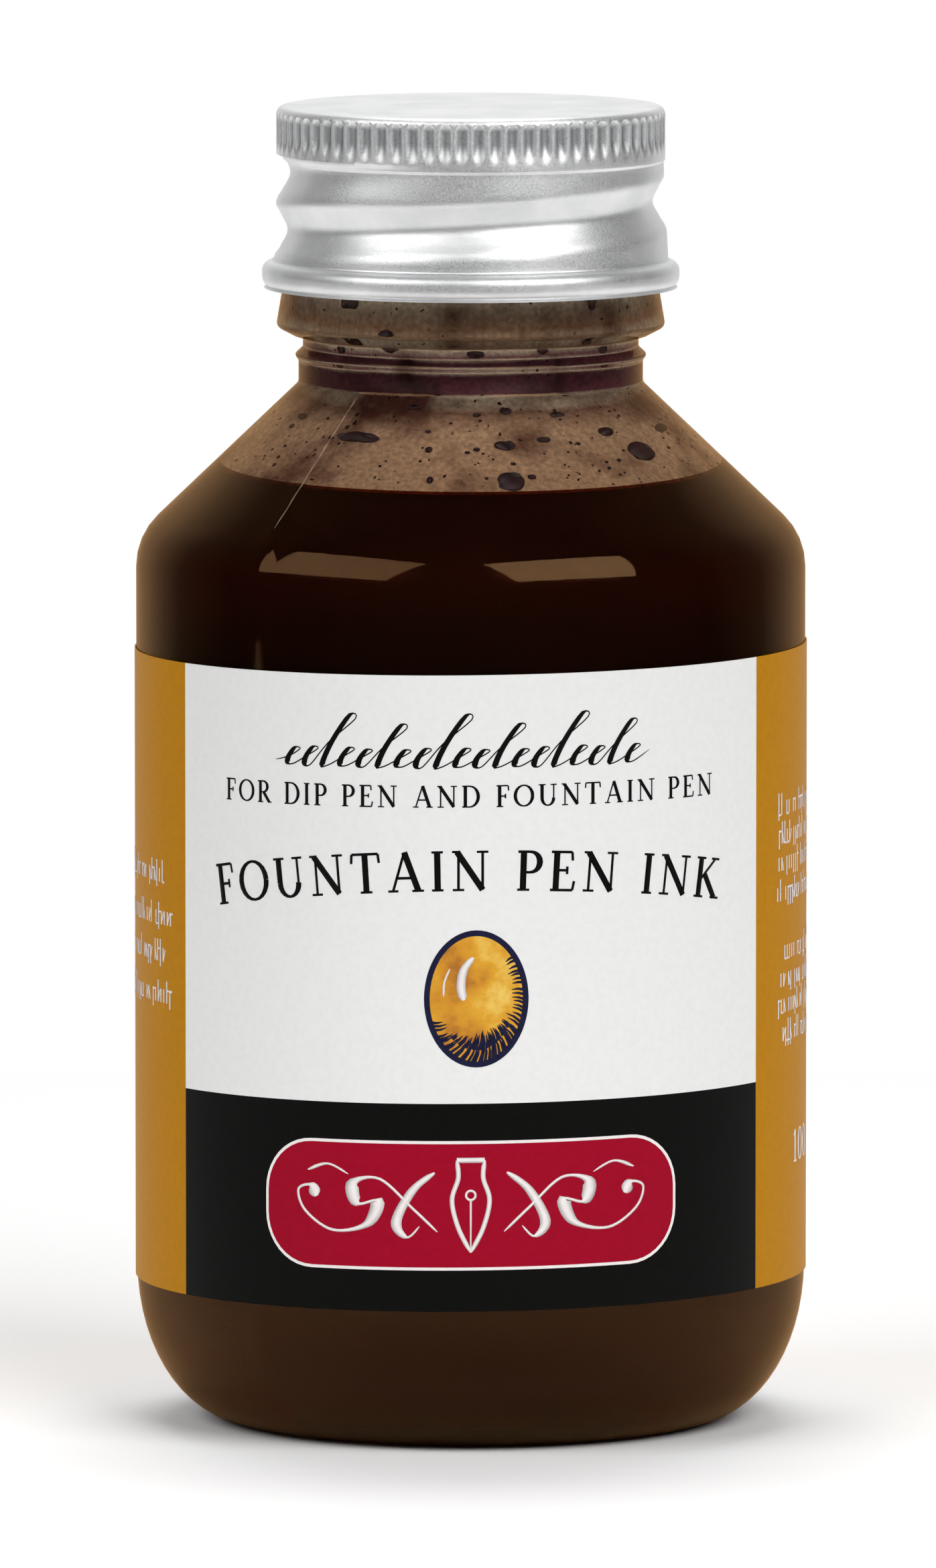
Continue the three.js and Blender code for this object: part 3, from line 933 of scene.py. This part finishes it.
def printLettering():
    art = labelArt
    loops = penLoops(art["loopStart"], art["scriptBase"], art["loopHeights"])
    penStrokes("scriptFlourish", [loops], blackPrint)
    title = letterStrokes("FOUNTAIN PEN INK", 0, art["titleHeight"], art["titleBase"], art["titleGap"],
                          art["titleArch"])
    penStrokes("titleLine", title, blackPrint)
    small = letterStrokes("FOR DIP PEN AND FOUNTAIN PEN", 0, art["smallHeight"], art["smallBase"],
                          art["smallGap"])
    penStrokes("smallLine", small, blackPrint)
    middle, base = art["numeral"]
    amount = letterStrokes("100", middle, art["numeralHeight"], base, art["numeralGap"])
    penStrokes("numeral", amount, palePrint)


def makeBelieveText(x, heights, length, towards):
    # rows of short upright strokes that stand for small print, read as texture only
    rows = []
    for y in heights:
        along = random.uniform(0, 1.8)
        while along < length:
            for _ in range(random.randint(2, 7)):
                tall = random.choice((1.0, 1.0, 1.0, 1.6))
                low = random.choice((0, 0, 0, -0.4))
                place = x + towards * along
                rows.append([(place, y + low, 0.2), (place, y + tall, 0.2)])
                if random.random() < 0.6:
                    start, end = random.choice((0, 0.9)), random.choice((0, 0.9))
                    rows.append([(place, y + start, 0.16), (place + 0.36, y + end, 0.16)])
                along += 0.52
            along += 0.5
    return rows


makeStone()
makePlaque()
printLettering()
random.seed(4)
penStrokes("rightSmallPrint", makeBelieveText(*labelArt["rightPrint"]), palePrint)
penStrokes("leftSmallPrint", makeBelieveText(*labelArt["leftPrint"]), palePrint)
print("label printed")

inkDrops = {
    # dried drops on the inner wall: degrees round from the front, height, width and length in mm
    "large": [(-35, 72.2, 3.6, 0.95), (10, 69.5, 1.9, 1.8), (10, 71.9, 1.5, 0.85), (52, 70.9, 2.4, 1.8),
              (12, 74.2, 0.8, 0.7), (44, 72.4, 1.3, 0.85), (22, 72.2, 0.9, 0.5), (-12, 71.6, 0.5, 0.5),
              (-10, 69.6, 0.4, 0.6), (30, 73.8, 1.2, 0.5), (-20, 74.4, 1.0, 0.4), (70, 72.0, 1.8, 0.7),
              (-64, 73.0, 1.2, 0.5), (110, 71.5, 2.4, 1.1), (163, 72.3, 1.8, 1.2), (-120, 70.8, 2.0, 0.8),
              (-152, 73.1, 1.5, 0.7), (-34, 79.6, 1.3, 1.5), (-52, 82.2, 0.9, 1.2), (30, 79.4, 0.8, 1.2),
              (2, 78.9, 1.2, 0.8), (52, 82.0, 0.7, 0.9), (-60, 78.8, 0.8, 0.8), (62, 78.9, 0.9, 0.8),
              (15, 82.6, 1.1, 0.5)],
    "proud": 0.12, "thickness": 0.24, "shoulderTop": 76,
    # smallest and largest; lowest, highest and likeliest
    "specks": 170, "speckSizes": (0.12, 0.34), "speckHeights": (68.9, 75.6, 70.3),
    "largeRings": 12, "speckRings": 4,
}


def raggedSkin(drop, phase):
    # pushes a drop's skin in and out, so that its outline looks dried and uneven
    for vertex in drop.data.vertices:
        away = vertex.co - drop.data.vertices[0].co
        ripple = math.sin(away.x / (0.36 * mm) + phase) * math.cos(away.z / (0.23 * mm))
        vertex.co += vertex.normal * 0.11 * mm * ripple


def layDrop(around, z, wide, tall, rings):
    # a flattened ball on the inner wall, leaning with the shoulder's cone
    d = inkDrops
    radius = innerRadiusAt(z) + d["proud"]
    angle = math.radians(around)
    place = (radius * math.sin(angle) * mm, -radius * math.cos(angle) * mm, z * mm)
    lean = math.atan2(1, glassBottle["coneSlope"]) if z < d["shoulderTop"] else 0
    bpy.ops.object.select_all(action="DESELECT")
    bpy.ops.mesh.primitive_uv_sphere_add(segments=rings * 2, ring_count=rings, radius=0.5 * mm,
                                         location=place, rotation=(-lean, 0, angle))
    drop = bpy.context.object
    drop.scale = (wide, d["thickness"], tall)
    bpy.ops.object.transform_apply(location=True, rotation=True, scale=True)
    return drop


def makeDrops():
    d = inkDrops
    made = []
    for around, z, wide, tall in d["large"]:
        drop = layDrop(around, z, wide, tall, d["largeRings"])
        raggedSkin(drop, around)
        made.append(drop)
    for _ in range(d["specks"]):
        size = random.uniform(*d["speckSizes"]) * (1.6 if random.random() < 0.15 else 1)
        around = random.uniform(-180, 180)
        z = random.triangular(*d["speckHeights"])
        made.append(layDrop(around, z, size * random.uniform(0.9, 1.5), size, d["speckRings"]))
    bpy.ops.object.select_all(action="DESELECT")
    for drop in made:
        drop.select_set(True)
    bpy.context.view_layer.objects.active = made[0]
    bpy.ops.object.join()
    made[0].name = made[0].data.name = "inkDrops"
    smoothAndFinish(made[0], 80)
    return made[0]


def driedInk():
    # ink dried in drops: dark purple-brown with a dull skin
    material, tree, shader, coordinates = newMaterial("driedInk")
    tone = addNode(tree, "ShaderNodeTexNoise", inputs={"Scale": 1 / (0.9 * mm), "Detail": 3.0},
                   links={"Vector": coordinates})
    tint = colourRamp(tree, tone.outputs["Fac"], [(0.35, "25080f"), (0.65, "3f1a2c")])
    tree.links.new(tint, shader.inputs["Base Color"])
    shader.inputs["Roughness"].default_value = 0.5
    return material


drops = makeDrops()
paint(drops, driedInk())
fixPiece(drops, "bottle", "ink")
print("ink drops made")

# the liner's two discs are the CAD's own, with finer finishes
def pulpBoard():
    # compressed pulpboard: soft, fibrous, no gloss
    material, tree, shader, coordinates = newMaterial("pulpBoard")
    fibres = addNode(tree, "ShaderNodeTexNoise", inputs={"Scale": 1 / (0.4 * mm), "Detail": 6.0},
                     links={"Vector": coordinates})
    tree.links.new(colourRamp(tree, fibres.outputs["Fac"], [(0.3, "9c8562"), (0.7, "bfa57f")]),
                   shader.inputs["Base Color"])
    shader.inputs["Roughness"].default_value = 0.9
    return material


def linerFilm():
    # thin white polymer film, faintly stained in patches
    material, tree, shader, coordinates = newMaterial("linerFilm")
    stain = addNode(tree, "ShaderNodeTexNoise", inputs={"Scale": 1 / (4 * mm), "Detail": 4.0},
                    links={"Vector": coordinates})
    tree.links.new(colourRamp(tree, stain.outputs["Fac"], [(0.35, "b79a80"), (0.6, "efece3")]),
                   shader.inputs["Base Color"])
    shader.inputs["Roughness"].default_value = 0.35
    return material


paint(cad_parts["liner_board"], pulpBoard())
paint(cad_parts["liner_facing"], linerFilm())
print("liner finished")

studio = {
    "floor": "ffffff", "floorNear": 0.18, "floorFar": 0.21, "floorHalfWidth": 0.45,     # m
    "floorDrop": 0.00002, "aimHeight": 0.06,     # m; the lights point at the aim height
    # brightness all round, by how far the direction turns from the front (-1) to the back (1)
    "tent": [(-1.0, 0.10), (0.0, 0.05), (0.5, 0.2), (0.85, 0.9), (1.0, 0.9)],
    # degrees round from the front, degrees up, distance and size in m, brightness
    "lights": {
        "leftSoftbox": (-52, 37, 1.0, (0.80, 0.60), 3.1),
        "rightSoftbox": (38, 37, 1.0, (0.80, 0.60), 4.9),
        "rearBank": (180, 71, 1.5, (0.80, 0.50), 7.0),
    },
}


def addStudio(s):
    bpy.ops.object.select_all(action="DESELECT")
    middle = (s["floorFar"] - s["floorNear"]) / 2
    bpy.ops.mesh.primitive_plane_add(size=1, location=(0, middle, -s["floorDrop"]))
    floor = bpy.context.object
    floor.name = "studioFloor"
    floor.scale = (2 * s["floorHalfWidth"], s["floorFar"] + s["floorNear"], 1)
    bpy.ops.object.transform_apply(location=False, rotation=False, scale=True)
    material, tree, shader, coordinates = newMaterial("matteFloor")
    shader.inputs["Base Color"].default_value = linearColour(s["floor"])
    shader.inputs["Roughness"].default_value = 0.8
    paint(floor, material)
    for name, (around, up, away, size, brightness) in s["lights"].items():
        around, up = math.radians(around), math.radians(up)
        place = (away * math.cos(up) * math.sin(around), -away * math.cos(up) * math.cos(around),
                 away * math.sin(up) + s["aimHeight"])
        bpy.ops.object.light_add(type="AREA", location=place, rotation=(math.pi / 2 - up, 0, around))
        light = bpy.context.object
        light.name = name
        light.data.shape = "RECTANGLE"
        light.data.size, light.data.size_y = size
        light.data.energy = brightness * math.pi * size[0] * size[1]


def addSky(s):
    # a white tent all round, with a dark side in front; seen directly it's white
    world = bpy.data.worlds.new("studioTent")
    bpy.context.scene.world = world
    world.use_nodes = True
    tree = world.node_tree
    back = tree.nodes["Background"]
    direction = addNode(tree, "ShaderNodeTexCoord").outputs["Generated"]
    parts = addNode(tree, "ShaderNodeSeparateXYZ", links={"Vector": direction})
    turned = addNode(tree, "ShaderNodeMapRange", inputs={"From Min": -1.0, "From Max": 1.0},
                     links={"Value": parts.outputs["Y"]})
    ramp = addNode(tree, "ShaderNodeValToRGB", links={"Fac": turned.outputs["Result"]})
    while len(ramp.color_ramp.elements) < len(s["tent"]):
        ramp.color_ramp.elements.new(1.0)
    for element, (place, level) in zip(ramp.color_ramp.elements, s["tent"]):
        element.position = (place + 1) / 2
        element.color = (level, level, level, 1)
    seen = addNode(tree, "ShaderNodeLightPath").outputs["Is Camera Ray"]
    glow = addNode(tree, "ShaderNodeMix", inputs={"B": 1.0},
                   links={"Factor": seen, "A": ramp.outputs["Color"]})
    tree.links.new(glow.outputs["Result"], back.inputs["Strength"])
    back.inputs["Color"].default_value = (1, 1, 1, 1)


addStudio(studio)
addSky(studio)
bpy.context.scene.view_settings.view_transform = "Standard"
print("studio set")
